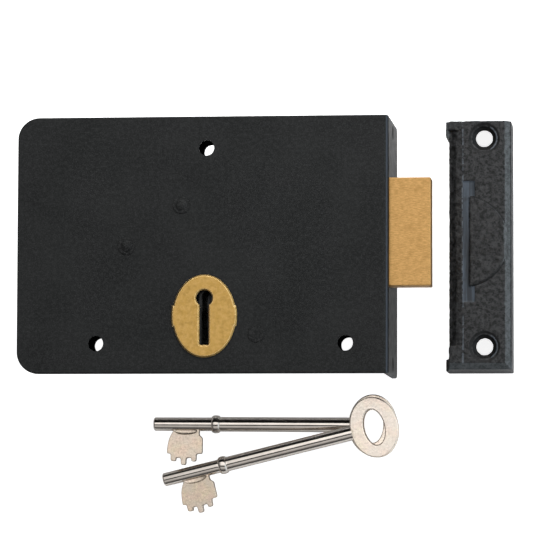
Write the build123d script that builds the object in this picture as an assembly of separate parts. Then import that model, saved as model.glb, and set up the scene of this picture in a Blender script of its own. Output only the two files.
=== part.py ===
from build123d import *
import math
import os

# Rim box lock: a lever deadlock that screws to the face of a door, with its box
# staple and its two keys. Millimetres, +Z out of the door's face. The origin is on
# the door's face, midway between the two lower fixing holes. The lock is as it
# stands on the door, bolt thrown; staple and keys lie at the level of the lip's edge.

# Driving sizes of the case
case_length = 153.3
case_height = 105.8
case_depth = 20.0
sheet = 2.0
corner_radius = 9.0
fold_radius = 2.2
edge_round = 0.7
lip_width = 50.0
lip_corner = 2.5
cap_play = 0.15
rim_inset = 1.6
overrun = 1.0

# The keyhole axis, from the origin and from the lip's outer face
keyhole_x = -6.4
keyhole_y = 18.4
backset = 75.5
keyhole_rise = 30.85
keyhole_radius = 3.35
slot_width = 3.8
slot_reach = 19.1
slot_round = 0.6

# Fixing holes
case_hole_radius = 3.2
case_hole_span = 102.8
top_hole_x = 0.6
top_hole_y = 61.9
lip_hole_radius = 2.1
lip_sink_radius = 3.1
lip_hole_depth = 25.0
lip_hole_end = 4.75

# Posts, by their places from the keyhole axis
pivot_x, pivot_y = -32.3, 21.6
guide_x, guide_y = -9.7, 38.4
pillar_x, pillar_y = 21.3, -14.7
post_radius = 3.0
shoulder_radius = 4.5
rivet_radius = 2.5
rivet_head_radius = 3.5
rivet_ring_height = 0.35
rivet_dome_radius = 2.4
rivet_dome_height = 0.75
pillar_head_height = 0.3
tap_radius = 2.0
tap_depth = 8.0
screw_play = 0.02
screw_head_radius = 3.8
screw_head_depth = 1.6
screw_length = 8.0
driver_width = 0.9
driver_depth = 0.7

# Escutcheon
plate_width = 26.2
plate_height = 34.0
plate_drop = 7.3
plate_thickness = 1.2
plate_bevel = 0.6
mouth_bevel = 0.5
lug_proud = 0.45
lug_height = 8.6

# Bolt
bolt_height = 44.5
bolt_rise = 5.0
bolt_thickness = 12.0
bolt_throw = 16.0
bolt_proud = 1.0
bolt_head_length = 36.0
bolt_edge = 0.45
bolt_play = 0.3
tail_thickness = 2.0
tail_bottom = 15.0
tail_top = 45.0
tail_waist = 31.0
tail_back = 4.0
tail_wall = 5.5
tail_lap = 10.0
tail_corner = 1.5
guide_play = 0.08
stump_size = 4.0
stump_x = 4.0
stump_y = 24.0
stump_shank = 1.6
stump_top_gap = 0.4
tail_rivet_radius = 2.0
tail_rivet_inset = 7.0
shoulder_gap = 0.1

# Levers: one step of the bit lifts each, lowest lever first
lever_count = 3
lever_thickness = 1.8
lever_play = 0.25
hub_radius = 6.5
hub_play = 0.05
lever_top = 29.8
lever_end = 11.5
lever_heel = 3.0
belly_y = 10.5
belly_half = 8.0
pocket_play = 0.35
gate_play = 0.3
lever_corner = 1.2
spring_thickness = 0.4
spring_width = 1.4
spring_foot_x = 4.0
spring_foot_y = 5.0
spring_bow = 4.0
spring_gap = 0.3
washer_radius = 4.6
washer_play = 0.05

# Keys
key_radius = 17.2
bit_thickness = 3.4
bit_width = 15.0
shank_length = 82.5
nose_radius = 2.85
grip_radius = 3.1
collar_radius = 3.85
collar_width = 3.5
collar_place = 24.7
bit_place = 5.8
nose_round = 0.8
bow_width = 20.3
bow_height = 25.6
bow_hole_width = 8.8
bow_hole_height = 15.0
bow_thickness = 4.0
bow_round = 0.9
bit_relief_radius = 2.2
bit_front_shoulder = 1.9
bit_front_drop = 7.6
bit_back_shoulder = 1.4
bit_back_drop = 5.8
bit_round = 0.45

# The bit's seven steps, from the nose: each one's share of the bit's width, and of the key's radius
step_width_shares = (0.109, 0.144, 0.144, 0.144, 0.155, 0.132, 0.172)
step_radius_shares = (0.722, 0.906, 0.824, 1.0, 0.824, 0.912, 0.726)

# Where the keys lie, from the keyhole axis
key_1_x, key_1_y, key_1_turn = -27.05, -49.85, -0.3
key_2_x, key_2_y, key_2_turn = -22.95, -73.4, 13.7
key_2_slope = 4.75

# Staple
staple_gap = 5.75
staple_width = 26.2
staple_height = 104.3
staple_depth = 20.0
staple_rise = 2.05
staple_wall = 2.0
slope_width = 6.05
step_width = 1.2
step_drop = 2.4
knee_width = 3.0
knee_drop = 0.8
end_block = 3.8
ramp_rise = 7.8
side_taper_width = 2.9
side_taper_depth = 2.0
foot_taper_width = 2.6
foot_taper_depth = 1.7
foot_lean = 0.9
mouth_height = 50.7
mouth_rise = 25.2
mouth_floor = 2.5
mouth_play = 0.3
pad_radius = 18.8
pad_height = 0.5
strip_width = 2.75
strip_end_width = 4.9
strip_depth = 0.4
staple_hole_radius = 3.45
staple_sink_radius = 6.4
staple_sink_depth = 1.9
staple_hole_top = 7.3
staple_hole_foot = 10.3
staple_hole_x = 14.85
lug_reach = 1.25
lug_length_top = 6.8
lug_length_foot = 5.2
lug_drop = 2.0

# Places worked out from the driving sizes
lip_face = keyhole_x + backset
lip_inner = lip_face - sheet
case_left = lip_face - case_length
case_bottom = keyhole_y - keyhole_rise
case_top = case_bottom + case_height
rim_top = case_top - rim_inset - sheet
face_inner = case_depth - sheet
floor_z = case_depth - lip_width
bolt_mid_z = case_depth / 2
bolt_low_z = bolt_mid_z - bolt_thickness / 2
bolt_high_z = bolt_mid_z + bolt_thickness / 2
bolt_low_y = keyhole_y + bolt_rise
bolt_high_y = bolt_low_y + bolt_height
bolt_end = lip_face + bolt_proud + bolt_throw
head_back = bolt_end - bolt_head_length
tail_low_z = bolt_mid_z - tail_thickness / 2
tail_high_z = bolt_mid_z + tail_thickness / 2


def block(x0, x1, y0, y1, z0, z1):
    """A box from its lowest to its highest corner."""
    middle = Pos((x0 + x1) / 2, (y0 + y1) / 2, (z0 + z1) / 2)
    return middle * Box(x1 - x0, y1 - y0, z1 - z0)


def rod(x, y, z0, z1, radius):
    """A round bar along Z."""
    return Pos(x, y, (z0 + z1) / 2) * Cylinder(radius, z1 - z0)


def prism(sketch, z0, z1):
    """A plan outline, drawn up from z0 to z1."""
    return extrude(Pos(0, 0, z0) * sketch, z1 - z0)


def outline(*points):
    """A plan outline through points, where they are."""
    return Polygon(*points, align=None)


def along_y(points, y0, y1):
    """A bar along Y from y0 to y1, its section given by points in X and Z."""
    section = Plane.XZ * make_face(Polyline(*points, points[0]))
    return Pos(0, (y0 + y1) / 2, 0) * extrude(section, (y1 - y0) / 2, both=True)


def from_keyhole(x, y):
    """A place given from the keyhole axis."""
    return keyhole_x + x, keyhole_y + y


def case_plan(inset, right):
    """The case's plan, drawn in by inset on three sides, with its two left corners round."""
    left, low, high = case_left + inset, case_bottom + inset, case_top - inset
    plan = outline((left, low), (right, low), (right, high), (left, high))
    return fillet(plan.vertices().sort_by(Axis.X)[:2], corner_radius - inset)


def keyhole(z0, z1):
    """The keyhole's round and slot, as a cutter."""
    x, y = keyhole_x, keyhole_y
    half = slot_width / 2
    end = y - slot_reach
    slot = outline((x - half, end), (x + half, end), (x + half, y), (x - half, y))
    slot = fillet(slot.vertices().sort_by(Axis.Y)[:2], slot_round)
    return prism(slot, z0, z1) + rod(x, y, z0, z1, keyhole_radius)


case_holes = [
    (-case_hole_span / 2, 0),
    (case_hole_span / 2, 0),
    from_keyhole(top_hole_x, top_hole_y),
]
pivot = from_keyhole(pivot_x, pivot_y)
guide = from_keyhole(guide_x, guide_y)
pillar = from_keyhole(pillar_x, pillar_y)


def make_case_plate():
    """Face and lip: one sheet, folded along the door's edge, with its holes."""
    bend = fold_radius
    low = case_depth - lip_width
    skin = Polyline((case_left, case_depth), (lip_face - bend, case_depth))
    fold = RadiusArc((lip_face - bend, case_depth), (lip_face, case_depth - bend), bend)
    rest = Polyline(
        (lip_face, case_depth - bend),
        (lip_face, low),
        (lip_inner, low),
        (lip_inner, face_inner),
        (case_left, face_inner),
        (case_left, case_depth),
    )
    section = Plane.XZ * make_face([*skin.edges(), *fold.edges(), *rest.edges()])
    plate = extrude(section, case_height, both=True)
    plate &= prism(case_plan(0, lip_face + overrun), low - overrun, case_depth + overrun)
    lip_edge = plate.edges().filter_by(Axis.X).group_by(Axis.Z)[0]
    plate = fillet(lip_edge, lip_corner)
    top_edges = plate.faces().sort_by(Axis.Z)[-1].edges()
    sharp = [e for e in top_edges if e.center().X < lip_face - bend - edge_round]
    plate = fillet(sharp, edge_round)
    for x, y in case_holes:
        plate -= rod(x, y, face_inner - overrun, case_depth + overrun, case_hole_radius)
    for x, y in (pivot, guide, pillar):
        plate -= rod(x, y, face_inner - overrun, case_depth + overrun, rivet_radius)
    plate -= keyhole(face_inner - overrun, case_depth + overrun)
    plate -= block(
        lip_inner - overrun,
        lip_face + overrun,
        bolt_low_y - bolt_play,
        bolt_high_y + bolt_play,
        bolt_low_z - bolt_play,
        bolt_high_z + bolt_play,
    )
    sink = lip_sink_radius - lip_hole_radius
    for y in (case_bottom + lip_hole_end, case_top - lip_hole_end):
        place = Pos(lip_face, y, case_depth - lip_hole_depth) * Rot(0, 90, 0)
        plate -= place * Cylinder(lip_hole_radius, 2 * sheet + overrun)
        plate -= place * Pos(0, 0, -sink / 2) * Cone(lip_hole_radius, lip_sink_radius, sink)
    return plate


def make_case_rim():
    """The wall round the case's top, back and bottom, set in a little under the face."""
    outer = prism(case_plan(rim_inset, lip_inner), 0, face_inner)
    inner_plan = case_plan(rim_inset + sheet, lip_inner + overrun)
    return outer - prism(inner_plan, -overrun, face_inner + overrun)


def make_cap():
    """The plate that closes the case on the door's side, inside the rim."""
    cap = prism(case_plan(rim_inset + sheet + cap_play, lip_inner - cap_play), 0, sheet)
    for x, y in case_holes:
        cap -= rod(x, y, -overrun, sheet + overrun, case_hole_radius)
    for x, y in (pivot, guide, pillar):
        cap -= rod(x, y, -overrun, sheet + overrun, tap_radius + screw_play)
        cap -= Pos(x, y, screw_head_depth / 2) * Cone(
            screw_head_radius + screw_play, tap_radius + screw_play, screw_head_depth
        )
    return cap - keyhole(-overrun, sheet + overrun)


def make_cap_screw(x, y):
    """A slotted countersunk screw, up through the cap into a post."""
    screw = Pos(x, y, screw_head_depth / 2) * Cone(
        screw_head_radius, tap_radius - screw_play, screw_head_depth
    )
    screw += rod(x, y, 0, screw_length, tap_radius - screw_play)
    reach = screw_head_radius + overrun
    half = driver_width / 2
    return screw - block(x - reach, x + reach, y - half, y + half, -overrun, driver_depth)


def make_post(place, shoulder_top, thick, thin, domed):
    """A turned post: shoulder, spindle, and a riveted end that shows on the face."""
    x, y = place
    post = rod(x, y, sheet, shoulder_top, thick)
    post += rod(x, y, shoulder_top, face_inner, thin)
    post += rod(x, y, face_inner, case_depth, rivet_radius)
    if domed:
        post += rod(x, y, case_depth, case_depth + rivet_ring_height, rivet_head_radius)
        rise = rivet_dome_height
        ball = (rivet_dome_radius**2 + rise**2) / (2 * rise)
        top = case_depth + rivet_ring_height + rise
        dome = Pos(x, y, top - ball) * Sphere(ball)
        keep = rod(x, y, case_depth, top + overrun, rivet_dome_radius)
        post += dome & keep
    else:
        post += rod(x, y, case_depth, case_depth + pillar_head_height, rivet_head_radius)
        edge = post.edges().group_by(Axis.Z)[-1]
        post = chamfer(edge, pillar_head_height / 2)
    return post - rod(x, y, sheet - overrun, sheet + tap_depth, tap_radius)


def make_escutcheon():
    """The oval keyhole plate, with a lug on each side and a bevelled rim."""
    low, high = case_depth, case_depth + plate_thickness
    middle = Pos(keyhole_x, keyhole_y - plate_drop)
    wide = Ellipse(plate_width / 2 + lug_proud, plate_height / 2 + lug_proud)
    lugs = wide & Rectangle(plate_width + 2 * lug_proud, lug_height)
    plan = middle * (Ellipse(plate_width / 2, plate_height / 2) + lugs)
    plate = prism(plan, low, high)
    plate = chamfer(plate.faces().sort_by(Axis.Z)[-1].edges(), plate_bevel)
    plate -= keyhole(low - overrun, high + overrun)
    mouth = plate.faces().sort_by(Axis.Z)[-1].inner_wires()
    return chamfer([edge for wire in mouth for edge in wire.edges()], mouth_bevel)


def make_bolt_head():
    """The brass bolt: a solid block, slit at its back for the tail."""
    head = block(head_back, bolt_end, bolt_low_y, bolt_high_y, bolt_low_z, bolt_high_z)
    head = fillet(head.edges(), bolt_edge)
    head -= block(
        head_back - overrun,
        head_back + tail_lap,
        bolt_low_y - overrun,
        bolt_high_y + overrun,
        tail_low_z,
        tail_high_z,
    )
    for x, y in tail_rivet_places():
        head -= rod(x, y, bolt_low_z - overrun, bolt_high_z + overrun, tail_rivet_radius)
    return head


def tail_rivet_places():
    """The two rivets that hold the tail in the bolt head."""
    x = head_back + tail_lap / 2
    low, high = keyhole_y + tail_bottom, keyhole_y + tail_top
    return [(x, low + tail_rivet_inset), (x, high - tail_rivet_inset)]


def talon_reach():
    """How far to each side of the keyhole the bolt step of the key pushes the bolt."""
    return math.sqrt(key_radius**2 - tail_bottom**2) + bit_thickness / 2


def make_bolt_tail():
    """The plate behind the bolt: its slot rides on the guide post, and the key turns in its talon."""
    low, waist, top = (keyhole_y + v for v in (tail_bottom, tail_waist, tail_top))
    slot_half = post_radius + guide_play
    slot_left = guide[0] - slot_half
    slot_right = guide[0] + bolt_throw + slot_half
    back = slot_left - tail_back
    talon_x = keyhole_x + bolt_throw / 2
    talon_half = talon_reach() - bolt_throw / 2
    foot = talon_x - talon_half - tail_wall
    right = head_back + tail_lap
    plan = outline(
        (foot, low), (right, low), (right, top), (back, top), (back, waist), (foot, waist)
    )
    loose = [v for v in plan.vertices() if v.X < right - tail_lap]
    plan = fillet(loose, tail_corner)
    tail = prism(plan, tail_low_z, tail_high_z)
    slot_low, slot_high = guide[1] - slot_half, guide[1] + slot_half
    inner_left, inner_right = slot_left + slot_half, slot_right - slot_half
    below, above = tail_low_z - overrun, tail_high_z + overrun
    tail -= block(inner_left, inner_right, slot_low, slot_high, below, above)
    tail -= rod(inner_left, guide[1], below, above, slot_half)
    tail -= rod(inner_right, guide[1], below, above, slot_half)
    talon_top = keyhole_y + key_radius + bolt_play
    tail -= block(
        talon_x - talon_half, talon_x + talon_half, low - overrun, talon_top, below, above
    )
    x, y = from_keyhole(stump_x, stump_y)
    tail -= rod(x, y, below, above, stump_shank)
    for x, y in tail_rivet_places():
        tail -= rod(x, y, below, above, tail_rivet_radius)
    return tail


def make_bolt_stump():
    """The square stud that has to pass the gates of all the levers."""
    x, y = from_keyhole(stump_x, stump_y)
    half = stump_size / 2
    stump = block(x - half, x + half, y - half, y + half, tail_high_z, face_inner - stump_top_gap)
    upright = stump.edges().filter_by(Axis.Z)
    stump = chamfer(upright, half / 8)
    return stump + rod(x, y, tail_low_z, tail_high_z, stump_shank)


def make_tail_rivets():
    """The two rivets through the bolt head and the tail, flush at both ends."""
    places = tail_rivet_places()
    return [rod(x, y, bolt_low_z, bolt_high_z, tail_rivet_radius) for x, y in places]


def lever_low_z(i):
    """The underside of lever i: each lies over one of the bit's last steps."""
    pitch = (face_inner - tail_high_z) / lever_count
    return tail_high_z + i * pitch + lever_play


def lever_lift(i):
    """How far, in radians, the key's step turns lever i."""
    step = key_radius * step_radius_shares[len(step_radius_shares) - lever_count + i]
    return math.asin((step - belly_y) / math.hypot(pivot_x, 0))


def lever_window(lift):
    """The two pockets and the gate between them, for a lever that lifts by an angle."""
    front = Vector(*from_keyhole(stump_x, stump_y))
    centre = Vector(*pivot)
    window = Sketch()
    ends = []
    for shift in (0, -bolt_throw):
        down = front + Vector(shift, 0)
        up = centre + (down - centre).rotate(Axis.Z, -math.degrees(lift))
        ends.append(up)
        half = stump_size / 2 + pocket_play
        left, right = min(down.X, up.X) - half, max(down.X, up.X) + half
        low, high = min(down.Y, up.Y) - half, max(down.Y, up.Y) + half
        window += outline((left, low), (right, low), (right, high), (left, high))
    middle = (ends[0] + ends[1]) / 2
    gate = Rectangle(bolt_throw, stump_size + 2 * gate_play)
    return window + Pos(middle.X, middle.Y) * Rot(0, 0, -math.degrees(lift)) * gate


def make_lever_spring(i):
    """A thin leaf from the lever's hub up to the case's top wall."""
    low = lever_low_z(i)
    x0, y0 = pivot[0] + spring_foot_x, pivot[1] + spring_foot_y
    x1, y1 = pivot[0], rim_top - spring_gap - spring_thickness / 2
    mid_z = low + lever_thickness / 2
    bow = ((x0 + x1) / 2 + spring_bow, (y0 + y1) / 2, mid_z)
    path = ThreePointArc((x0, y0, mid_z), bow, (x1, y1, mid_z))
    blank = Plane(origin=path @ 0, z_dir=path % 0, x_dir=(0, 0, 1))
    return sweep(blank * Rectangle(spring_width, spring_thickness), path=path)


def make_lever(i, spring):
    """A brass lever: hub on the pivot post, window round the stump, belly over the key."""
    x, y = pivot
    top = keyhole_y + lever_top
    end = keyhole_x + lever_end
    belly = keyhole_y + belly_y
    plan = outline(
        (x, y - hub_radius),
        (keyhole_x - belly_half, belly),
        (keyhole_x + belly_half, belly),
        (end, belly + lever_heel),
        (end, top),
        (x + hub_radius, top),
        (x, y + hub_radius),
    )
    right = [v for v in plan.vertices() if v.X > x + hub_radius / 2]
    plan = fillet(right, lever_corner)
    plan += Pos(x, y) * Circle(hub_radius)
    plan -= lever_window(lever_lift(i))
    plan -= Pos(x, y) * Circle(post_radius + hub_play)
    low = lever_low_z(i)
    return prism(plan, low, low + lever_thickness) - spring


def lifted(i, piece):
    """A piece of lever i, turned up to where the key holds it while the bolt moves."""
    return Pos(*pivot) * Rot(0, 0, math.degrees(lever_lift(i))) * Pos(-pivot[0], -pivot[1]) * piece


def make_washers():
    """Thin washers on the pivot post, between the levers."""
    washers = []
    for i in range(lever_count - 1):
        low = lever_low_z(i) + lever_thickness + washer_play
        high = lever_low_z(i + 1) - washer_play
        ring = rod(*pivot, low, high, washer_radius)
        washers.append(ring - rod(*pivot, low - overrun, high + overrun, post_radius + hub_play))
    return washers


def bit_outline():
    """The bit's plan: the nose end at X 0, the shank's axis on Y 0, the steps towards -Y."""
    points = []
    x = 0
    for width_share, radius_share in zip(step_width_shares, step_radius_shares):
        y = -key_radius * radius_share
        points.append((x, y))
        x += bit_width * width_share
        points.append((x, y))
    points.append((x, -bit_back_drop))
    points.append((x - bit_back_shoulder, -grip_radius))
    points.append((x - bit_back_shoulder, 0))
    points.append((bit_front_shoulder, 0))
    points.append((bit_front_shoulder, -grip_radius))
    points.append((0, -bit_front_drop))
    plan = outline(*points)
    free = [v for v in plan.vertices() if v.Y < -grip_radius - bit_round]
    return fillet(free, bit_round)


def make_key():
    """A key with its nose at the origin, the shank along +X and the bit towards -Y."""
    along = Rot(0, 90, 0)
    nose = Pos(collar_place / 2, 0, 0) * along * Cylinder(nose_radius, collar_place)
    nose = chamfer(nose.edges().sort_by(Axis.X)[0], nose_round)
    grip_length = shank_length - collar_place
    grip = Pos(collar_place + grip_length / 2, 0, 0) * along * Cylinder(grip_radius, grip_length)
    collar = Pos(collar_place + collar_width / 2, 0, 0) * along * Cylinder(
        collar_radius, collar_width
    )
    collar = fillet(collar.edges().filter_by(GeomType.CIRCLE), collar_width / 4)
    middle = shank_length + bow_width / 2
    ring = Pos(middle, 0) * (
        Ellipse(bow_width / 2, bow_height / 2) - Ellipse(bow_hole_width / 2, bow_hole_height / 2)
    )
    bow = prism(ring, -bow_thickness / 2, bow_thickness / 2)
    bow = fillet(bow.edges(), bow_round)
    neck = Pos(shank_length, 0, 0) * along * Cone(grip_radius, bow_thickness / 2, 2 * bow_round)
    bit = Pos(bit_place, 0) * bit_outline()
    bit = prism(bit, -bit_thickness / 2, bit_thickness / 2)
    groove_y = -nose_radius - bit_relief_radius / 2
    for side in (-1, 1):
        groove = Pos(bit_place + bit_width, groove_y, side * bit_thickness) * along
        bit -= groove * Cylinder(bit_relief_radius, bit_width)
    return nose + grip + collar + bow + neck + bit


def make_key_1():
    """The key that lies flat, on its collar."""
    x, y = from_keyhole(key_1_x, key_1_y)
    return Pos(x, y, floor_z + collar_radius) * Rot(0, 0, key_1_turn) * make_key()


def make_key_2():
    """The key across it, its nose down and its shank on the first key's."""
    x, y = from_keyhole(key_2_x, key_2_y)
    slope = math.radians(key_2_slope)
    low = floor_z + nose_radius * math.cos(slope)
    return Pos(x, y, low) * Rot(0, 0, key_2_turn) * Rot(0, -key_2_slope, 0) * make_key()


def make_staple():
    """The cast box that takes the bolt: open behind, with a mouth towards the lock."""
    left = bolt_end + staple_gap
    right = left + staple_width
    foot = case_bottom + staple_rise
    top = foot + staple_height
    low, high = floor_z, floor_z + staple_depth
    body = block(left, right, foot, top, low, high)
    side = [
        (right - side_taper_width, high),
        (right - side_taper_width, high + overrun),
        (right + overrun, high + overrun),
        (right + overrun, high - side_taper_depth),
        (right, high - side_taper_depth),
    ]
    body -= along_y(side, foot - overrun, top + overrun)
    taper_y = foot + foot_lean
    edge = Plane.YZ * make_face(
        Polyline(
            (taper_y + foot_taper_width, high),
            (foot - overrun, high),
            (foot - overrun, low),
            (foot, low),
            (taper_y, high - foot_taper_depth),
            (taper_y + foot_taper_width, high),
        )
    )
    body -= Pos((left + right) / 2, 0, 0) * extrude(edge, staple_width, both=True)
    ridge = left + slope_width
    slope = [
        (ridge, high),
        (ridge, high + overrun),
        (left - overrun, high + overrun),
        (left - overrun, high - step_drop),
        (left + step_width, high - step_drop),
        (left + knee_width, high - knee_drop),
    ]
    body -= along_y(slope, foot + ramp_rise + foot_taper_width, top - end_block)
    lug_high = high - lug_drop
    lugs = [(top - lug_length_top, top), (foot, foot + lug_length_foot)]
    for y0, y1 in lugs:
        body += block(left - lug_reach, left, y0, y1, low, lug_high)
    pad_y = keyhole_y + mouth_rise
    mouth_low, mouth_high = pad_y - mouth_height / 2, pad_y + mouth_height / 2
    floor = high - strip_depth
    body -= block(
        ridge - strip_depth, ridge + strip_end_width, mouth_low, mouth_high, floor, high + overrun
    )
    pad = rod(ridge, pad_y, floor - overrun, high + pad_height, pad_radius)
    pad_left, pad_right = ridge + strip_width, right - side_taper_width
    keep = block(
        pad_left, pad_right, pad_y - pad_radius, pad_y + pad_radius, floor, high + overrun
    )
    body += pad & keep
    wall = staple_wall
    roof = low + bolt_high_z + mouth_play
    body -= block(left + wall, right - wall, foot + wall, top - wall, low - overrun, roof)
    body -= block(left - overrun, left + 2 * wall, mouth_low, mouth_high, low + mouth_floor, roof)
    hole_x = left + staple_hole_x
    sink = Cone(staple_hole_radius, staple_sink_radius, staple_sink_depth)
    for y in (top - staple_hole_top, foot + staple_hole_foot):
        body -= rod(hole_x, y, low - overrun, high + overrun, staple_hole_radius)
        body -= Pos(hole_x, y, high - staple_sink_depth / 2) * sink
    return body


def save(name, *solids):
    """One sub-part, in one file: a lone solid, or a group of separate ones."""
    shape = solids[0] if len(solids) == 1 else Compound(children=list(solids))
    export_step(shape, f"parts/{name}.step")


os.makedirs("parts", exist_ok=True)
save("case_plate", make_case_plate())
save("case_rim", make_case_rim())
save("cap", make_cap())
save("cap_screws", *[make_cap_screw(x, y) for x, y in (pivot, guide, pillar)])
save("escutcheon", make_escutcheon())
save("lever_pivot_post", make_post(pivot, tail_high_z, shoulder_radius, post_radius, True))
guide_shoulder = tail_low_z - shoulder_gap
save("bolt_guide_post", make_post(guide, guide_shoulder, shoulder_radius, post_radius, True))
save("cap_pillar", make_post(pillar, bolt_mid_z, shoulder_radius, shoulder_radius, False))
save("bolt_head", make_bolt_head())
save("bolt_tail", make_bolt_tail())
save("bolt_stump", make_bolt_stump())
save("bolt_rivets", *make_tail_rivets())
for number in range(lever_count):
    leaf = make_lever_spring(number)
    plate = make_lever(number, leaf)
    save(f"lever_{number + 1}", lifted(number, plate))
    save(f"lever_spring_{number + 1}", lifted(number, leaf))
save("lever_washers", *make_washers())
save("staple", make_staple())
save("key_1", make_key_1())
save("key_2", make_key_2())
for number in range(lever_count):
    print("lever", number + 1, "lifts by degrees", round(math.degrees(lever_lift(number)), 3))
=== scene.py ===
import bmesh
import bpy
import math
from mathutils import Matrix, Vector, noise


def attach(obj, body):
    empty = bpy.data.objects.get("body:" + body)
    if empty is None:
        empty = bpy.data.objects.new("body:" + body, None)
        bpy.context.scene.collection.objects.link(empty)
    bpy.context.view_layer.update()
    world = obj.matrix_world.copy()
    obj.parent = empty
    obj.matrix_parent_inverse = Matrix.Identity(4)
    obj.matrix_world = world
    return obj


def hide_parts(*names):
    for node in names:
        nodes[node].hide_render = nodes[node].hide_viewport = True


# A rim box lock with its staple and its two keys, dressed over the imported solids.
# Metres throughout: mm turns the part's sizes into them.
mm = 0.001

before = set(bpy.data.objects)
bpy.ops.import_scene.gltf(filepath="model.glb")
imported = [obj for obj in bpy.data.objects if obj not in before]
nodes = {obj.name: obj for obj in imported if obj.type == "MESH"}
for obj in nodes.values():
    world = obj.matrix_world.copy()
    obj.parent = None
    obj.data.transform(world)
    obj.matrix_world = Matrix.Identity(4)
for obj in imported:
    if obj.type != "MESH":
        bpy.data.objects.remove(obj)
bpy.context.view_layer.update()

# Levels and places, as in the part's source: lip_x is the lip's outer face
floor_z = -30 * mm
keyhole_x, keyhole_y = -6.4 * mm, 18.4 * mm
lip_x = 69.1 * mm

# The dark sheet on the cap that paints the shade seen through the keyhole: its underside, how far
# its middle is below the keyhole's axis, and half its straight length
shade_sheet_low, shade_sheet_drop, shade_sheet_half = 2.05 * mm, 8.0 * mm, 9.5 * mm

# Keys, as in the part's source
key_radius = 17.2 * mm
bit_thickness = 3.4 * mm
bit_width = 15.0 * mm
bit_place = 5.8 * mm
shank_length = 82.5 * mm
nose_radius, grip_radius = 2.85 * mm, 3.1 * mm
collar_radius, collar_width, collar_place = 3.85 * mm, 3.5 * mm, 24.7 * mm
bow_width, bow_height = 20.3 * mm, 25.6 * mm
bow_hole_width, bow_hole_height = 8.8 * mm, 15.0 * mm
bow_thickness = 4.0 * mm
step_width_shares = (0.109, 0.144, 0.144, 0.144, 0.155, 0.132, 0.172)
step_radius_shares = (0.722, 0.906, 0.824, 1.0, 0.824, 0.912, 0.726)
key_1_x, key_1_y, key_1_turn = -27.05 * mm, -49.85 * mm, -0.3
key_2_x, key_2_y, key_2_turn = -22.95 * mm, -73.4 * mm, 13.7
key_2_slope = 4.75

# Keys: how soft their edges are, the bit's two sides beside the shank in mm (one counted
# from the bit's end, one from its start), and the relief sunk in the bit's faces
nose_rounding, bit_rounding = 1.1 * mm, 0.95 * mm
bow_bevel, bit_bevel, bevel_steps = 0.55 * mm, 0.28 * mm, 3
bit_end_side = ((0, -5.6), (-1.35, -4.7), (-1.4, -1.5))
bit_start_side = ((2.9, -1.5), (2.6, -3.1), (1.55, -4.7), (0.75, -6.7), (0.25, -9.2))
relief_share, relief_reach = 0.53, (4.9 * mm, 1.7 * mm, 0.7 * mm)

# Staple: its top, ridge, strip, disc, tapers and screw holes, as in the part's source
staple_high = floor_z + 20 * mm
ridge_x, strip_half = 97.9 * mm, 25.35 * mm
strip_width, strip_end_width = 2.75 * mm, 4.9 * mm
pad_y = 43.6 * mm
taper_x, taper_y = 115.15 * mm, -6.9 * mm
staple_holes = ((106.7 * mm, 86.6 * mm), (106.7 * mm, -0.1 * mm))

# Staple: where its finishes and its painted light and shade change, a little off the solid's own
# edges. The depths and the strip's two levels count down from its top
lug_x, pad_radius = 92.15 * mm, 18.7 * mm
strip_margin, strip_upper, strip_lower = 0.1 * mm, 0.15 * mm, 0.75 * mm
taper_margin, taper_edge, taper_depth = 0.5 * mm, 2.1 * mm, 2.4 * mm
ridge_half, ridge_depth = 0.36 * mm, 0.6 * mm
sink_radius, sink_depth = 6.5 * mm, 2.2 * mm
# Past this x a countersink ring takes the painted highlight
lit_ring_x = staple_holes[0][0] + 2.4 * mm

# Staple: the rings in its countersinks, and the groove round its raised disc
ring_radius, ring_width, ring_height = 5.2 * mm, 0.4 * mm, 0.25 * mm
crease_gap, crease_width = 0.25 * mm, 0.34 * mm
crease_depth, crease_level = 0.25 * mm, 0.8 * mm

# Staple: the layers of its lumpy skin, each with its width and height in mm and its own
# place in the noise, and how much of the skin the strip and the tapers show
skin_layers = ((4.2, 0.10, (0, 0, 0)), (1.5, 0.13, (7, 3, 1)), (0.8, 0.06, (2, 9, 4)))
strip_share, taper_share = 0.12, 0.35

# Staple: how finely its skin is meshed, how far its walls are drawn in below and beyond
# the tapers, and up to what height it is left as it is where it stands
voxel, quick_voxel = 0.36 * mm, 0.9 * mm
skin_inset, taper_end, foot_rest = 0.12 * mm, 2 * mm, 0.6 * mm

# Camera: its tilt from straight above, its distance and its lens
tilt_right, tilt_down, roll = 6.23, 4.46, 0.16
camera_distance = 1.5
camera_target = (0.01916, 0.03128, 0.02)
frame_pixels = 533
focal_pixels = 3669.5
sensor = 36.0

# What shiny metal sees of the studio, by the angle from straight up towards +Y: dark low
# down, a grey wall in front, a black gap, a broad soft box above and behind, dark again
studio_bands = (
    (-90, 0.14),
    (-76, 0.08),
    (-62, 0.12),
    (-52, 0.45),
    (-36, 0.70),
    (-26, 0.60),
    (-20, 0.03),
    (-8, 0.03),
    (-4, 1.30),
    (20, 1.41),
    (52, 1.32),
    (62, 0.14),
    (75, 0.09),
    (90, 0.16),
)

# What it sees towards +X and towards -X, and what lights everything else
studio_right, studio_left = (0.98, 1.1, 1.18, 1), (0.12, 0.12, 0.12, 1)
studio_soft = 0.42

# Finishes: how finely edges are looked for, the colours of rubbed edges (on brass they also paint a
# highlight), of the painted shade in pits, and of the painted highlight and painted dark reflection
# along the case's fold
bevel_samples = 6
rubbed_brass_and_highlight, rubbed_and_highlight_metallic = (0.92, 0.68, 0.34, 1), 0.3
rubbed_iron, pit_shade_black = (0.07, 0.075, 0.08, 1), (0.003, 0.003, 0.0035, 1)
fold_highlight, fold_dark_reflection = (0.033, 0.040, 0.050, 1), (0.001, 0.001, 0.001, 1)

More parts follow.
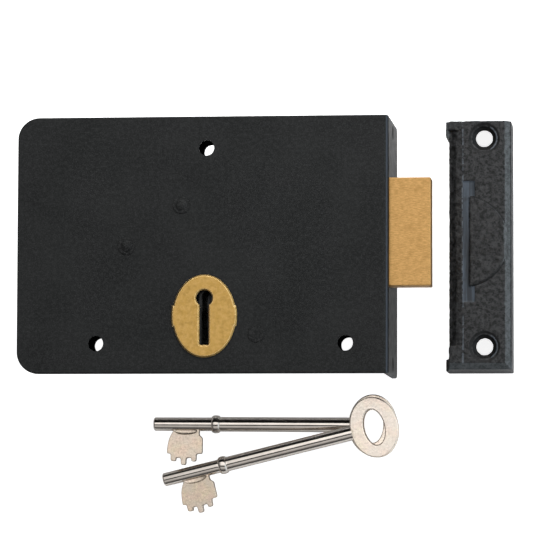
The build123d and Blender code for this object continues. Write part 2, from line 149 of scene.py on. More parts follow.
# The case's fold, from the lip's outer face: a painted highlight and a painted dark reflection,
# each a line with two pairs of places, from where the line is clear to where it is full
highlight_in, highlight_out = (-1.2 * mm, -0.8 * mm), (-0.35 * mm, -0.5 * mm)
dark_reflection_in, dark_reflection_out = (-0.4 * mm, -0.3 * mm), (0, -0.05 * mm)


def add_camera():
    """A long lens nearly straight above, turned a little so that the lip's outside shows."""
    across, down = math.tan(math.radians(tilt_right)), math.tan(math.radians(tilt_down))
    back = Vector((across, -down, 1)).normalized()
    right = Vector((0, 1, 0)).cross(back).normalized()
    up = back.cross(right)
    c, s = math.cos(math.radians(roll)), math.sin(math.radians(roll))
    turned_right, turned_up = right * c + up * s, up * c - right * s
    data = bpy.data.cameras.new("camera")
    data.sensor_width = sensor
    data.lens = focal_pixels / frame_pixels * sensor
    data.clip_start, data.clip_end = 0.01, 100
    camera = bpy.data.objects.new("camera", data)
    turn = Matrix((turned_right, turned_up, back)).transposed().to_4x4()
    camera.matrix_world = Matrix.Translation(Vector(camera_target) + back * camera_distance) @ turn
    bpy.context.scene.collection.objects.link(camera)
    bpy.context.scene.camera = camera


class Tree:
    """A node tree in the making: each call adds nodes and gives a node or its output."""

    def __init__(self, tree):
        self.tree = tree

    def add(self, kind, links=None, **settings):
        """A node of a kind, with its sockets linked or set, and its own settings."""
        node = self.tree.nodes.new(kind)
        for key, value in settings.items():
            setattr(node, key, value)
        for key, value in (links or {}).items():
            self.put(node.inputs[key], value)
        return node

    def put(self, socket, value):
        """Link a socket to another one's output, or set it to a plain value."""
        if isinstance(value, bpy.types.NodeSocket):
            self.tree.links.new(value, socket)
        else:
            socket.default_value = value

    def span(self, value, low, high, to_low=0.0, to_high=1.0):
        """A value moved from one range to another, and held inside it."""
        values = {"Value": value, "From Min": low, "From Max": high}
        values.update({"To Min": to_low, "To Max": to_high})
        return self.add("ShaderNodeMapRange", values).outputs["Result"]

    def math(self, operation, first, second=0.0):
        """A sum on one or two values."""
        node = self.add("ShaderNodeMath", {0: first, 1: second}, operation=operation)
        return node.outputs[0]

    def blend(self, factor, first, second):
        """The first colour at 0, the second at 1."""
        node = self.add("ShaderNodeMix", {0: factor}, data_type="RGBA")
        self.put(node.inputs[6], first)
        self.put(node.inputs[7], second)
        return node.outputs[2]


class Shader(Tree):
    """The node tree of one material."""

    def __init__(self, name):
        self.material = bpy.data.materials.new(name)
        self.material.use_nodes = True
        super().__init__(self.material.node_tree)
        self.bsdf = self.tree.nodes["Principled BSDF"]
        self.coords = self.add("ShaderNodeTexCoord").outputs["Object"]

    def stretched(self, scale):
        """The object's own coordinates, drawn out along an axis for a grain."""
        node = self.add("ShaderNodeMapping", {"Vector": self.coords, "Scale": scale})
        return node.outputs["Vector"]

    def noise(self, scale, detail=2.0, roughness=0.5, vector=None):
        """Soft noise, 0 to 1 with most of it near the middle."""
        values = {"Scale": scale, "Detail": detail, "Roughness": roughness}
        values["Vector"] = vector or self.coords
        return self.add("ShaderNodeTexNoise", values).outputs["Fac"]

    def cells(self, scale):
        """How far a place is from the nearest of many scattered points, for pits."""
        values = {"Scale": scale, "Vector": self.coords}
        return self.add("ShaderNodeTexVoronoi", values).outputs["Distance"]

    def soft_normal(self, radius):
        """The normal as if the edges were rounded to a radius."""
        node = self.add("ShaderNodeBevel", {"Radius": radius}, samples=bevel_samples)
        return node.outputs["Normal"]

    def edges(self, width, low=0.03, high=0.35):
        """1 on the part's edges and 0 on its faces, width metres to each side."""
        soft = self.soft_normal(width)
        flat = self.add("ShaderNodeNewGeometry").outputs["Normal"]
        dot = self.add("ShaderNodeVectorMath", {0: soft, 1: flat}, operation="DOT_PRODUCT")
        return self.span(self.math("SUBTRACT", 1.0, dot.outputs["Value"]), low, high)

    def bumps(self, *layers, rounding=None):
        """Bumps laid one on another: each is a height and its depth in metres."""
        normal = self.soft_normal(rounding) if rounding else None
        for height, depth in layers:
            node = self.add("ShaderNodeBump", {"Height": height, "Distance": depth})
            if normal:
                self.put(node.inputs["Normal"], normal)
            normal = node.outputs["Normal"]
        self.put(self.bsdf.inputs["Normal"], normal)

    def line(self, place, start, coming, going):
        """A line along Y: each pair of places, counted from start, goes from clear to full."""
        rise = self.span(place, start + coming[0], start + coming[1])
        fall = self.span(place, start + going[0], start + going[1])
        return self.math("MULTIPLY", rise, fall)

    def finish(self, color, roughness, metallic=0.0, specular=0.5):
        """Set the surface and give the material."""
        self.put(self.bsdf.inputs["Base Color"], color)
        self.put(self.bsdf.inputs["Roughness"], roughness)
        self.put(self.bsdf.inputs["Metallic"], metallic)
        self.bsdf.inputs["Specular IOR Level"].default_value = specular
        return self.material


def enamel(name, dark, light, wear_and_highlight, gloss=0.4, fold=None):
    """Satin black enamel on steel: orange peel, a cloudy blotch, dust grains, rubbed edges.
    Where a fold's place is given, a painted highlight and a painted dark reflection run along it."""
    s = Shader(name)
    blotch = s.noise(45, 3, 0.6)
    mottle = s.noise(650, 3, 0.65)
    grain = s.noise(1900, 2, 0.6)
    color = s.blend(s.span(blotch, 0.35, 0.65), dark, light)
    color = s.blend(s.span(mottle, 0.45, 0.7, 0, 0.35), color, wear_and_highlight)
    color = s.blend(s.span(grain, 0.5, 0.7, 0, 0.6), color, wear_and_highlight)
    rubbed = s.math("MULTIPLY", s.edges(0.4 * mm), s.span(s.noise(260, 3), 0.4, 0.65))
    color = s.blend(s.math("MULTIPLY", rubbed, 0.5), color, wear_and_highlight)
    if fold:
        x = s.add("ShaderNodeSeparateXYZ", {"Vector": s.coords}).outputs["X"]
        # Painted highlight and painted dark reflection along the case's fold
        color = s.blend(s.line(x, fold, highlight_in, highlight_out), color, fold_highlight)
        color = s.blend(s.line(x, fold, dark_reflection_in, dark_reflection_out), color, fold_dark_reflection)
    roughness = s.span(s.noise(300, 3), 0.3, 0.7, gloss - 0.05, gloss + 0.07)
    s.bumps((s.noise(900, 2), 0.03 * mm), (grain, 0.02 * mm), rounding=0.35 * mm)
    return s.finish(color, roughness, specular=0.08)


def brass(name, base, pale, dull, grain_scale, roughness, spots=0.7, rounding=0.25 * mm):
    """Satin brass with a fine grain, small tarnish spots, and paler, less metallic edges that are
    partly rubbing and partly a painted highlight.
    """
    s = Shader(name)
    grain = s.noise(520, 3, 0.7, s.stretched(grain_scale))
    mottle = s.noise(420, 4, 0.65)
    color = s.blend(s.span(grain, 0.38, 0.62), base, pale)
    color = s.blend(s.span(mottle, 0.48, 0.68, 0, spots), color, dull)
    # Paler, less metallic edges: part rubbing, part a painted highlight
    edge = s.edges(0.4 * mm, 0.01, 0.07)
    color = s.blend(edge, color, rubbed_brass_and_highlight)
    shine = s.span(grain, 0.3, 0.7, roughness - 0.06, roughness + 0.08)
    s.bumps((grain, 0.02 * mm), (s.noise(1800, 2), 0.012 * mm), rounding=rounding)
    return s.finish(color, shine, metallic=s.span(edge, 0, 1, 1.0, rubbed_and_highlight_metallic))


def steel(name, base, pale, roughness, grain_scale=(1, 1, 1)):
    """Plain steel with a drawn grain."""
    s = Shader(name)
    grain = s.noise(700, 3, 0.6, s.stretched(grain_scale))
    color = s.blend(s.span(grain, 0.3, 0.7), base, pale)
    color = s.blend(s.math("MULTIPLY", s.edges(0.2 * mm), 0.5), color, pale)
    shine = s.span(s.noise(260, 3), 0.3, 0.7, roughness - 0.06, roughness + 0.1)
    s.bumps((grain, 0.008 * mm), rounding=0.15 * mm)
    return s.finish(color, shine, metallic=1.0)


def cast_iron(name, dark, light, skin):
    """Black paint over a sand casting: grains and pits as deep as skin, painted shade in the pits,
    and rubbed edges.
    """
    s = Shader(name)
    grains = s.noise(1150, 3, 0.6)
    pits = s.span(s.cells(430), 0.08, 0.25)
    tone = s.span(s.noise(600, 4, 0.7), 0.4, 0.6)
    color = s.blend(tone, dark, light)
    # Painted shade in the pits
    color = s.blend(s.span(pits, 0, 1, 0.65 * skin, 0), color, pit_shade_black)
    rubbed = s.math("MULTIPLY", s.edges(0.5 * mm), s.span(s.noise(500, 3), 0.3, 0.6))
    color = s.blend(s.math("MULTIPLY", rubbed, 0.5), color, rubbed_iron)
    roughness = s.span(grains, 0.3, 0.7, 0.38, 0.56)
    lumps = s.noise(380, 3)
    s.bumps((lumps, 0.12 * skin * mm), (pits, 0.08 * skin * mm), (grains, 0.08 * skin * mm))
    return s.finish(color, roughness, specular=0.3)


def machined_iron(name):
    """The staple's machined strip: thin paint over the lines of a cutter along Y."""
    s = Shader(name)
    lines = s.noise(900, 3, 0.6, s.stretched((1, 0.03, 1)))
    blotch = s.noise(300, 3, 0.6)
    color = s.blend(s.span(lines, 0.38, 0.62), (0.009, 0.013, 0.018, 1), (0.042, 0.055, 0.072, 1))
    color = s.blend(s.span(blotch, 0.5, 0.7, 0, 0.6), color, (0.014, 0.017, 0.02, 1))
    s.bumps((lines, 0.05 * mm), (s.noise(1300, 2), 0.02 * mm))
    return s.finish(color, s.span(blotch, 0.3, 0.7, 0.3, 0.45), specular=0.4)


def polished_nickel(name):
    """Nickel plate, polished: nearly a mirror, with fine scratches and a little haze."""
    s = Shader(name)
    haze = s.noise(160, 4, 0.6)
    scratches = s.noise(1500, 3, 0.7, s.stretched((0.06, 1, 1)))
    color = s.blend(s.span(haze, 0.35, 0.65), (0.66, 0.60, 0.545, 1), (0.73, 0.67, 0.61, 1))
    shine = s.span(scratches, 0.35, 0.7, 0.07, 0.16)
    s.bumps((s.noise(350, 2), 0.012 * mm), (scratches, 0.003 * mm))
    return s.finish(color, shine, metallic=1.0)


def satin_nickel(name, rose, straw, pale, dull):
    """Nickel plate over a ground face: a warm bloom that clouds from rose to straw."""
    s = Shader(name)
    bloom = s.span(s.noise(260, 3, 0.6), 0.4, 0.6)
    cloud = s.span(s.noise(130, 2, 0.5), 0.42, 0.58)
    grain = s.noise(1300, 3, 0.7)
    color = s.blend(bloom, rose, straw)
    color = s.blend(s.math("MULTIPLY", cloud, 0.6), color, pale)
    color = s.blend(s.span(grain, 0.5, 0.7, 0, 0.7), color, dull)
    shine = s.span(grain, 0.3, 0.7, 0.24, 0.36)
    s.bumps((s.noise(420, 3), 0.03 * mm), (grain, 0.012 * mm))
    return s.finish(color, shine, metallic=1.0)


def shade_sheet_material(name):
    """Dark, smooth and a little glossy, with a faint bloom: the finish of the sheet that paints
    shade into the keyhole.
    """
    s = Shader(name)
    bloom = s.span(s.noise(300, 3, 0.6), 0.4, 0.7)
    color = s.blend(bloom, (0.007, 0.007, 0.006, 1), (0.017, 0.0165, 0.0135, 1))
    s.bumps((s.noise(1200, 2), 0.005 * mm))
    return s.finish(color, s.span(bloom, 0, 1, 0.16, 0.28), specular=0.3)


black = enamel(
    "case_enamel",
    dark=(0.0085, 0.009, 0.009, 1),
    light=(0.0125, 0.013, 0.013, 1),
    wear_and_highlight=(0.033, 0.034, 0.034, 1),
    fold=lip_x,
)
inner_black = enamel(
    "cap_enamel",
    dark=(0.009, 0.0095, 0.01, 1),
    light=(0.013, 0.0135, 0.014, 1),
    wear_and_highlight=(0.04, 0.04, 0.04, 1),
    gloss=0.5,
)
post_black = enamel(
    "post_enamel",
    dark=(0.006, 0.0065, 0.0065, 1),
    light=(0.009, 0.0095, 0.0095, 1),
    wear_and_highlight=(0.04, 0.04, 0.04, 1),
    gloss=0.32,
)
plate_brass = brass(
    "plate_brass",
    base=(0.51, 0.31, 0.085, 1),
    pale=(0.63, 0.395, 0.13, 1),
    dull=(0.39, 0.235, 0.06, 1),
    grain_scale=(1, 1, 1),
    roughness=0.42,
    rounding=0.6 * mm,
)
bolt_brass = brass(
    "bolt_brass",
    base=(0.48, 0.275, 0.092, 1),
    pale=(0.69, 0.41, 0.16, 1),
    dull=(0.40, 0.225, 0.07, 1),
    grain_scale=(1, 6, 6),
    roughness=0.40,
    spots=0.45,
)
lever_brass = brass(
    "lever_brass",
    base=(0.52, 0.33, 0.11, 1),
    pale=(0.62, 0.41, 0.16, 1),
    dull=(0.42, 0.26, 0.08, 1),
    grain_scale=(1, 5, 1),
    roughness=0.35,
)
tail_steel = steel("tail_steel", (0.30, 0.30, 0.31, 1), (0.44, 0.44, 0.45, 1), 0.35, (1, 8, 1))
spring_steel = steel("spring_steel", (0.16, 0.18, 0.24, 1), (0.30, 0.32, 0.38, 1), 0.25)
screw_steel = steel("screw_steel", (0.36, 0.36, 0.36, 1), (0.52, 0.52, 0.51, 1), 0.3)
skin_iron = cast_iron(
    "staple_iron", dark=(0.003, 0.0031, 0.0032, 1), light=(0.029, 0.0295, 0.0305, 1), skin=1.4
)
strip_iron = machined_iron("staple_strip")
# A lighter copy of the staple's iron: painted light on the slopes and lug tops that face the lamps
lit_taper_iron = cast_iron(
    "staple_taper_lit", dark=(0.028, 0.032, 0.034, 1), light=(0.066, 0.073, 0.077, 1), skin=0.6
)
# A lighter, bluish copy of the iron: painted highlight along the ridge and on the rings' right side
ridge_highlight_iron = cast_iron(
    "staple_ridge_highlight", dark=(0.035, 0.041, 0.048, 1), light=(0.075, 0.085, 0.098, 1), skin=0.6
)
# A near-black copy of the iron: painted shade in the crease, the countersinks and on the foot's
# wall
painted_shade_iron = cast_iron(
    "staple_painted_shade", dark=(0.0015, 0.0015, 0.0016, 1), light=(0.006, 0.006, 0.0065, 1), skin=0.3
)
polished = polished_nickel("key_polished")
bow_satin = satin_nickel(
    "key_bow",
    rose=(0.96, 0.82, 0.71, 1),
    straw=(0.96, 0.85, 0.69, 1),
    pale=(0.92, 0.84, 0.77, 1),
    dull=(0.76, 0.65, 0.56, 1),
)
bit_satin = satin_nickel(
    "key_bit",
    rose=(0.72, 0.57, 0.46, 1),
    straw=(0.70, 0.59, 0.43, 1),
    pale=(0.64, 0.56, 0.49, 1),
    dull=(0.48, 0.39, 0.31, 1),
)
# The sheet that paints shade into the keyhole takes this dark finish
shade_sheet_finish = shade_sheet_material("shade_sheet_finish")

# The staple's finishes, among them a lighter copy of the iron for painted light, one for painted
# highlights and a near-black one for painted shade, and the numbers by which its faces name them
staple_irons = (skin_iron, strip_iron, lit_taper_iron, ridge_highlight_iron, painted_shade_iron)
on_skin, on_machined, on_lit_taper, on_highlight, in_painted_shade = range(len(staple_irons))

finishes = {
    "case_plate": black,
    "case_rim": black,
    "cap": inner_black,
    "cap_screws": screw_steel,
    "escutcheon": plate_brass,
    "lever_pivot_post": post_black,
    "bolt_guide_post": post_black,
    "cap_pillar": post_black,
    "bolt_head": bolt_brass,
    "bolt_tail": tail_steel,
    "bolt_stump": tail_steel,
    "bolt_rivets": bolt_brass,
    "lever_1": lever_brass,
    "lever_2": lever_brass,
    "lever_3": lever_brass,
    "lever_spring_1": spring_steel,
    "lever_spring_2": spring_steel,
    "lever_spring_3": spring_steel,
    "lever_washers": screw_steel,
    "staple": skin_iron,
    "key_1": bow_satin,
    "key_2": bow_satin,
}


def dress_nodes():
    """Every solid of the frame takes its own finish."""
    for name, material in finishes.items():
        slots = nodes[name].material_slots
        for place in slots:
            place.material = material
        if not slots:
            nodes[name].data.materials.append(material)


def add_piece(name, mesh, body, slot, *materials):
    """A new piece of the scene, with its materials and its body. Its slot is not used."""
    piece = bpy.data.objects.new(name, mesh)
    bpy.context.scene.collection.objects.link(piece)
    for material in materials:
        mesh.materials.append(material)
    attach(piece, body)
    return piece


def settle(piece):
    """Turn a piece's modifiers into its mesh."""
    graph = bpy.context.evaluated_depsgraph_get()
    mesh = bpy.data.meshes.new_from_object(piece.evaluated_get(graph))
    piece.modifiers.clear()
    piece.data = mesh
    return mesh


def loop_faces(bm, loops, closed=False):
    """Join rings of points, each to the next, with four-sided faces."""
    pairs = list(zip(loops, loops[1:]))
    if closed:
        pairs.append((loops[-1], loops[0]))
    for first, second in pairs:
        count = len(first)
        for i in range(count):
            j = (i + 1) % count
            bm.faces.new((first[i], first[j], second[j], second[i]))


def shank_profile():
    """The shank from the nose to the bow: a soft nose, a bead for a collar, a thicker grip."""
    flat_share, length_share = 0.55, 0.75
    points = [(0, 0), (0, nose_radius * flat_share)]
    nose_steps, collar_steps = 6, 12
    for i in range(nose_steps + 1):
        a = math.pi / 2 * i / nose_steps
        x = nose_rounding * (1 - math.cos(a)) * length_share
        points.append((x + 0.02 * mm, nose_radius - nose_rounding * (1 - math.sin(a))))
    points.append((collar_place - 0.5 * mm, nose_radius))
    points.append((collar_place - 0.1 * mm, nose_radius + 0.04 * mm))
    fullness = 0.8
    for i in range(collar_steps + 1):
        a = math.pi * i / collar_steps
        x = collar_place + collar_width / 2 * (1 - math.cos(a))
        base = nose_radius + (grip_radius - nose_radius) * i / collar_steps
        points.append((x, base + (collar_radius - base) * math.sin(a) ** fullness))
    end = collar_place + collar_width
    points.append((end + 0.15 * mm, grip_radius - 0.05 * mm))
    points.append((end + 0.6 * mm, grip_radius))
    points.append((shank_length - 1.0 * mm, grip_radius))
    points.append((shank_length + 0.6 * mm, grip_radius * 0.97))
    points.append((shank_length + 1.4 * mm, bow_thickness * 0.45))
    points.append((shank_length + 1.4 * mm, 0))
    return points


def add_shank(bm, segments=64):
    """The shank, turned round X."""
    profile = shank_profile()
    loops = []
    for x, radius in profile[1:-1]:
        ring = []
        for i in range(segments):
            a = 2 * math.pi * i / segments
            ring.append(bm.verts.new((x, radius * math.cos(a), radius * math.sin(a))))
        loops.append(ring)
    loop_faces(bm, loops)
    bm.faces.new(loops[0])
    bm.faces.new(loops[-1])


def add_bow(bm, segments=96):
    """The bow: an oval ring of square section, its edges left for the bevel."""
    middle, half = shank_length + bow_width / 2, bow_thickness / 2
    sizes = (
        (bow_width, bow_height, half),
        (bow_hole_width, bow_hole_height, half),
        (bow_hole_width, bow_hole_height, -half),
        (bow_width, bow_height, -half),
    )
    loops = []
    for width, height, z in sizes:
        ring = []
        for i in range(segments):
            a = 2 * math.pi * i / segments
            x, y = middle + width / 2 * math.cos(a), height / 2 * math.sin(a)
            ring.append(bm.verts.new((x, y, z)))
        loops.append(ring)
    loop_faces(bm, loops, closed=True)


def rounded(points, radius, steps=5):
    """A closed outline with its corners rounded, each by no more than its sides allow."""
    out = []
    count = len(points)
    side_share = 0.48
    for i in range(count):
        before, here, after = (Vector(points[(i + k) % count]) for k in (-1, 0, 1))
        back, on = before - here, after - here
        reach = min(radius, back.length * side_share, on.length * side_share)
        first, last = here + back.normalized() * reach, here + on.normalized() * reach
        for step in range(steps + 1):
            t = step / steps
            out.append(first * (1 - t) ** 2 + here * 2 * t * (1 - t) + last * t**2)
    return out


def bit_outline():
    """The bit's plan: its seven steps, and its two sides drawn in beside the shank."""
    points = []
    x = 0
    for width_share, radius_share in zip(step_width_shares, step_radius_shares):
        y = -key_radius * radius_share
        points.append((x, y))
        x += bit_width * width_share
        points.append((x, y))
    points += [(x + along * mm, y * mm) for along, y in bit_end_side]
    points += [(along * mm, y * mm) for along, y in bit_start_side]
    return [(bit_place + px, py) for px, py in rounded(points, bit_rounding)]


def add_bit(bm):
    """The bit: its plan, drawn to the bit's thickness."""
    half = bit_thickness / 2
    plan = bit_outline()
    low = [bm.verts.new((x, y, -half)) for x, y in plan]
    high = [bm.verts.new((x, y, half)) for x, y in plan]
    bm.faces.new(low)
    bm.faces.new(high)
    loop_faces(bm, [low, high])


def relief_mesh():
    """Two flat lens shapes, which cut the relief beside the shank on both sides of the bit."""
    bm = bmesh.new()
    x, shape = bit_place + bit_width * relief_share, Matrix.Diagonal((*relief_reach, 1))
    for side in (-1, 1):
        place = Matrix.Translation((x, -nose_radius, side * bit_thickness / 2))
        bmesh.ops.create_icosphere(bm, subdivisions=4, radius=1, matrix=place @ shape)
    mesh = bpy.data.meshes.new("relief")
    bm.to_mesh(mesh)
    bm.free()
    return mesh


def part_mesh(name, fill):
    """One closed form as a mesh with its faces turned outwards."""
    bm = bmesh.new()
    fill(bm)
    bmesh.ops.recalc_face_normals(bm, faces=bm.faces)
    mesh = bpy.data.meshes.new(name)
    bm.to_mesh(mesh)
    bm.free()
    return mesh


def bevelled(name, mesh, width, cutter=None):
    """The mesh with its sharp edges rounded, and then an optional cut."""
    carrier = bpy.data.objects.new(name, mesh)
    bpy.context.scene.collection.objects.link(carrier)
    mesh.shade_smooth()
    bevel = carrier.modifiers.new("bevel", "BEVEL")
    bevel.width, bevel.segments = width, bevel_steps
    bevel.limit_method, bevel.angle_limit = "ANGLE", math.radians(55)
    bevel.use_clamp_overlap = False
    bevel.harden_normals = True
    if cutter:
        tool = bpy.data.objects.new(name + "_cutter", cutter)
        bpy.context.scene.collection.objects.link(tool)
        cut = carrier.modifiers.new("cut", "BOOLEAN")
        cut.object, cut.operation, cut.solver = tool, "DIFFERENCE", "EXACT"
    result = settle(carrier)
    bpy.data.objects.remove(carrier)
    if cutter:
        bpy.data.objects.remove(tool)
    return result


def make_key_parts():
    """The key's parts, nose at the origin, each with its name and its finish."""
    shank = part_mesh("shank", add_shank)
    shank.shade_smooth()
    shank.set_sharp_from_angle(angle=math.radians(50))
    bow = bevelled("bow", part_mesh("bow", add_bow), bow_bevel)
    bit = bevelled("bit", part_mesh("bit", add_bit), bit_bevel, relief_mesh())
    return (("shank", shank, polished), ("bow", bow, bow_satin), ("bit", bit, bit_satin))


def make_key(name, parts, place):
    """One key from its three parts, set down where it lies."""
    for label, mesh, material in parts:
        own = mesh.copy()
        own.transform(place)
        own.materials.clear()
        piece = add_piece(f"{name}_{label}", own, name, "key_nickel", material)
        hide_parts(name)


def key_places():
    """Where the two keys lie: one flat on its collar, the other over it with its nose down."""
    x, y = keyhole_x + key_1_x, keyhole_y + key_1_y
    first = Matrix.Translation((x, y, floor_z + collar_radius))
    first = first @ Matrix.Rotation(math.radians(key_1_turn), 4, "Z")
    x, y = keyhole_x + key_2_x, keyhole_y + key_2_y
    low = floor_z + nose_radius * math.cos(math.radians(key_2_slope))
    second = Matrix.Translation((x, y, low)) @ Matrix.Rotation(math.radians(key_2_turn), 4, "Z")
    second = second @ Matrix.Rotation(math.radians(-key_2_slope), 4, "Y")
    return first, second


def cast_height(point):
    """How far the casting's skin stands proud or sunk at a point, in metres."""
    height = 0
    for wide, high, shift in skin_layers:
        height += noise.noise(point / (wide * mm) + Vector(shift)) * high * mm
    return height


def hole_distance(co):
    """How far a place is from the axis of the nearest screw hole."""
    return min(math.hypot(co.x - x, co.y - y) for x, y in staple_holes)


def ring_share(co):
    """How far a place in the countersink lies on its raised ring, 0 to 1."""
    if co.z < staple_high - sink_depth:
        return 0
    return math.exp(-(((hole_distance(co) - ring_radius) / ring_width) ** 2))


def crease_share(co):
    """How far a place lies in the narrow groove round the pad's raised disc, 0 to 1."""
    if co.x < ridge_x + strip_width or co.z < staple_high - crease_level:
        return 0
    off = math.hypot(co.x - ridge_x, co.y - pad_y) - pad_radius - crease_gap
    return math.exp(-((off / crease_width) ** 2))


def on_strip(co):
    """Whether a place lies on the machined strip, which is wider past the disc's ends."""
    along = abs(co.y - pad_y)
    width = strip_width if along < pad_radius else strip_end_width
    return -strip_margin < co.x - ridge_x < width and along < strip_half


def on_ridge(co, normal):
    """Whether a place lies on the top of the ridge along the strip."""
    high = co.z > staple_high - ridge_depth
    return abs(co.x - ridge_x) < ridge_half and high and normal.z > 0.6


def on_edge_taper(co, normal):
    """Whether a place lies on the slope along the casting's right or its foot edge."""
    leaning = normal.x > 0.35 and normal.z > 0.3 or normal.y < -0.35 and normal.z > 0.3
    right = taper_x - taper_margin < co.x < taper_x + taper_edge
    return leaning and co.z > staple_high - taper_depth and (right or co.y < taper_y + taper_margin)


def in_sink(co):
    """Whether a place lies in one of the countersinks."""
    return co.z >= staple_high - sink_depth and hole_distance(co) <= sink_radius


def staple_finish(co, normal):
    """Which finish a face takes: skin, machined strip, or painted light and shade: a lighter taper,
    a painted highlight on the ridge and the rings' right side, and painted shade in the crease, the
    countersinks and on the foot's wall.
    """
    machined = staple_high - strip_lower < co.z < staple_high - strip_upper
    if on_strip(co) and normal.z > 0.8 and machined:
        return on_machined
    # Painted light: the tapers and the lug's top take the lighter copy of the iron
    if on_edge_taper(co, normal):
        return on_lit_taper
    if co.x < lug_x and co.y > pad_y and normal.z > 0.2:
        return on_lit_taper
    # Painted shade on the foot's outer wall
    if normal.y < -0.75 and co.y < taper_y:
        return in_painted_shade
    # Painted highlight along the ridge, broken by noise
    if on_ridge(co, normal):
        wear_and_highlight = noise.noise(co / (1.8 * mm) + Vector((4, 1, 6))) > -0.12
        return on_highlight if wear_and_highlight else on_skin
    # Painted shade in the groove round the disc
    if crease_share(co) > 0.5:
        return in_painted_shade
    if not in_sink(co):
        return on_skin
    # Painted highlight on the right side of each countersink ring; its left stays plain skin
    if ring_share(co) > 0.6:
        return on_highlight if co.x > lit_ring_x else on_skin
    # Painted shade in the countersinks
    return in_painted_shade


def skin_shift(co, normal):
    """How far a place of the casting moves along its normal: not at all where it stands."""
    if co.z < floor_z + foot_rest:
        return 0
    if on_strip(co) and normal.z > 0.7:
        share = strip_share
    else:
        share = taper_share if co.x > taper_x or co.y < taper_y else 1
    height = cast_height(co) + ring_height * ring_share(co) - crease_depth * crease_share(co)
    outer = co.x > taper_x + taper_end or co.z < staple_high - taper_depth
    return (height - (skin_inset if outer else 0)) * share


def make_staple():
    """The casting: the solid's form with soft edges, a lumpy skin, rings in its countersinks
    and a groove round its disc. It stays inside the solid at its right, foot and top."""
    mesh = nodes["staple"].data.copy()
    mesh.materials.clear()
    bm = bmesh.new()
    bm.from_mesh(mesh)
    bmesh.ops.remove_doubles(bm, verts=bm.verts, dist=0.001 * mm)
    bm.to_mesh(mesh)
    bm.free()
    piece = add_piece("staple_casting", mesh, "staple", "staple_iron")
    remesh = piece.modifiers.new("remesh", "REMESH")
    remesh.mode, remesh.voxel_size = "VOXEL", voxel
    soften = piece.modifiers.new("soften", "SMOOTH")
    soften.factor, soften.iterations = 0.5, 2
    mesh = settle(piece)
    for material in staple_irons:
        mesh.materials.append(material)
    solid = [vertex.co for vertex in nodes["staple"].data.vertices]
    right = max(co.x for co in solid)
    foot, top = min(co.y for co in solid), max(co.y for co in solid)
    skin = [(vertex.co.copy(), vertex.normal.copy()) for vertex in mesh.vertices]
    for vertex, (co, normal) in zip(mesh.vertices, skin):
        moved = co + normal * skin_shift(co, normal)
        vertex.co = (min(moved.x, right), min(max(moved.y, foot), top), moved.z)
    for face in mesh.polygons:
        face.material_index = staple_finish(face.center, face.normal)
    mesh.shade_smooth()
    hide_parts("staple")


def make_shade_sheet():
    """A dark sheet shaped as a moulded seal, inside the case on the cap: painted shade that darkens
    what shows through the keyhole. Its slit lets the key through.
    """
    bm = bmesh.new()
    # Its section in mm: out from its middle line, and up from its underside
    section = (
        (7.6, 0.0),
        (7.6, 0.7),
        (7.2, 1.15),
        (6.2, 1.3),
        (5.4, 1.1),
        (4.9, 0.75),
        (2.6, 0.6),
        (1.2, 0.75),
        (0.01, 0.7),
        (0.01, 0.3),
        (4.9, 0.0),
    )
    loops = []
    steps = 16
    for offset, height in section:
        ring = []
        for end, turn in ((1, 0), (-1, math.pi)):
            for i in range(steps + 1):
                a = turn + math.pi * i / steps
                x = keyhole_x + offset * mm * math.cos(a)
                y = keyhole_y - shade_sheet_drop + end * shade_sheet_half + offset * mm * math.sin(a)
                ring.append(bm.verts.new((x, y, shade_sheet_low + height * mm)))
        loops.append(ring)
    loop_faces(bm, loops, closed=True)
    bmesh.ops.recalc_face_normals(bm, faces=bm.faces)
    mesh = bpy.data.meshes.new("keyhole_shade_sheet")
    bm.to_mesh(mesh)
    bm.free()
    mesh.shade_smooth()
    mesh.set_sharp_from_angle(angle=math.radians(60))
    add_piece("keyhole_shade_sheet", mesh, "case", "cap_steel", shade_sheet_finish)


def add_floor():
    """A plain white floor at the level of the lip's edge, which keeps the shadows faint."""
    mesh = bpy.data.meshes.new("floor")
    reach, low = 6.0, floor_z - 0.02 * mm
    signs = ((-1, -1), (1, -1), (1, 1), (-1, 1))
    mesh.from_pydata([(reach * i, reach * j, low) for i, j in signs], [], [(0, 1, 2, 3)])
    floor = bpy.data.objects.new("floor", mesh)
    bpy.context.scene.collection.objects.link(floor)
    material = bpy.data.materials.new("floor_white")
    material.use_nodes = True
    tree = Tree(material.node_tree)
    bsdf = tree.tree.nodes["Principled BSDF"]
    bsdf.inputs["Base Color"].default_value = (0.82, 0.82, 0.82, 1)
    bsdf.inputs["Roughness"].default_value = 0.9
    bsdf.inputs["Specular IOR Level"].default_value = 0.1
    bsdf.inputs["Emission Color"].default_value = (1, 1, 1, 1)
    seen = tree.add("ShaderNodeLightPath").outputs["Is Camera Ray"]
    tree.put(bsdf.inputs["Emission Strength"], tree.math("MULTIPLY", seen, 0.88))
    mesh.materials.append(material)


def add_panel(name, place, aim, size, watts, color=(1, 1, 1), mirrored=False):
    """A soft rectangular lamp at a place, turned to a point: metal mirrors it only if told."""
    data = bpy.data.lights.new(name, "AREA")
    data.shape = "RECTANGLE"
    data.size, data.size_y = size
    data.energy = watts
    data.color = color
    lamp = bpy.data.objects.new(name, data)
    lamp.location = place
    lamp.rotation_euler = (Vector(aim) - Vector(place)).to_track_quat("-Z", "Y").to_euler()
    lamp.visible_glossy = mirrored
    bpy.context.scene.collection.objects.link(lamp)


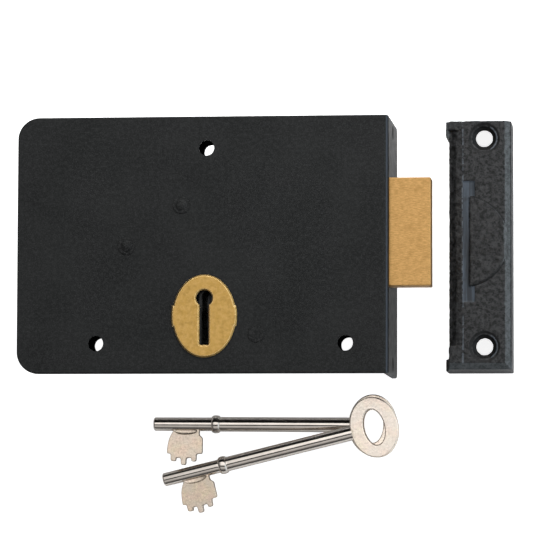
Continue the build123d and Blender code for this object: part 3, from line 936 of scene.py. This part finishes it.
def add_world():
    """A pale studio: white to the camera, soft to what it lights, in broad bands to metal."""
    world = bpy.data.worlds.new("studio")
    bpy.context.scene.world = world
    world.use_nodes = True
    tree = Tree(world.node_tree)
    back = tree.tree.nodes["Background"]
    direction = tree.add("ShaderNodeTexCoord").outputs["Generated"]
    parts = tree.add("ShaderNodeSeparateXYZ", {"Vector": direction}).outputs
    angle = tree.math("ARCTAN2", parts["Y"], parts["Z"])
    quarter = math.pi / 2
    ramp = tree.add("ShaderNodeValToRGB", {"Fac": tree.span(angle, -quarter, quarter)})
    elements = ramp.color_ramp.elements
    while len(elements) > 1:
        elements.remove(elements[-1])
    for number, (degrees, strength) in enumerate(studio_bands):
        place = (degrees + 90) / 180
        element = elements[0] if number == 0 else elements.new(place)
        element.position = place
        element.color = (strength, strength, strength, 1)
    right, left = tree.span(parts["X"], 0.3, 0.9), tree.span(parts["X"], -0.3, -0.8)
    bands = tree.blend(right, ramp.outputs["Color"], studio_right)
    bands = tree.blend(left, bands, studio_left)
    seen = tree.add("ShaderNodeLightPath").outputs
    shiny = tree.math("MAXIMUM", seen["Is Glossy Ray"], seen["Is Transmission Ray"])
    light = tree.blend(shiny, (studio_soft, studio_soft, studio_soft, 1), bands)
    tree.put(back.inputs["Color"], tree.blend(seen["Is Camera Ray"], light, (1, 1, 1, 1)))
    back.inputs["Strength"].default_value = 1.0


add_camera()
dress_nodes()
key_parts = make_key_parts()
for key_name, key_place in zip(("key_1", "key_2"), key_places()):
    make_key(key_name, key_parts, key_place)
make_staple()
make_shade_sheet()
add_floor()
add_world()
cool = (0.85, 0.93, 1.0)
add_panel("key_panel", (0.22, 0.55, 0.62), (0.03, 0.04, 0), size=(0.8, 0.5), watts=2.2)
add_panel("near_panel", (0.14, 0.32, 0.3), (0.04, 0.06, 0), size=(0.3, 0.2), watts=1.0)
add_panel("right_panel", (1.1, 0.1, 0.55), (0.05, 0.04, 0), size=(0.5, 0.9), watts=7, color=cool)
add_panel("left_panel", (-1.1, -0.2, 0.8), (0, 0.04, 0), size=(0.5, 0.9), watts=3)
add_panel("rim_panel", (0, 1.0, 0.55), (0, 0.02, 0.02), size=(1.2, 0.6), watts=3.6, mirrored=True)

scene = bpy.context.scene
scene.view_settings.view_transform = "Standard"
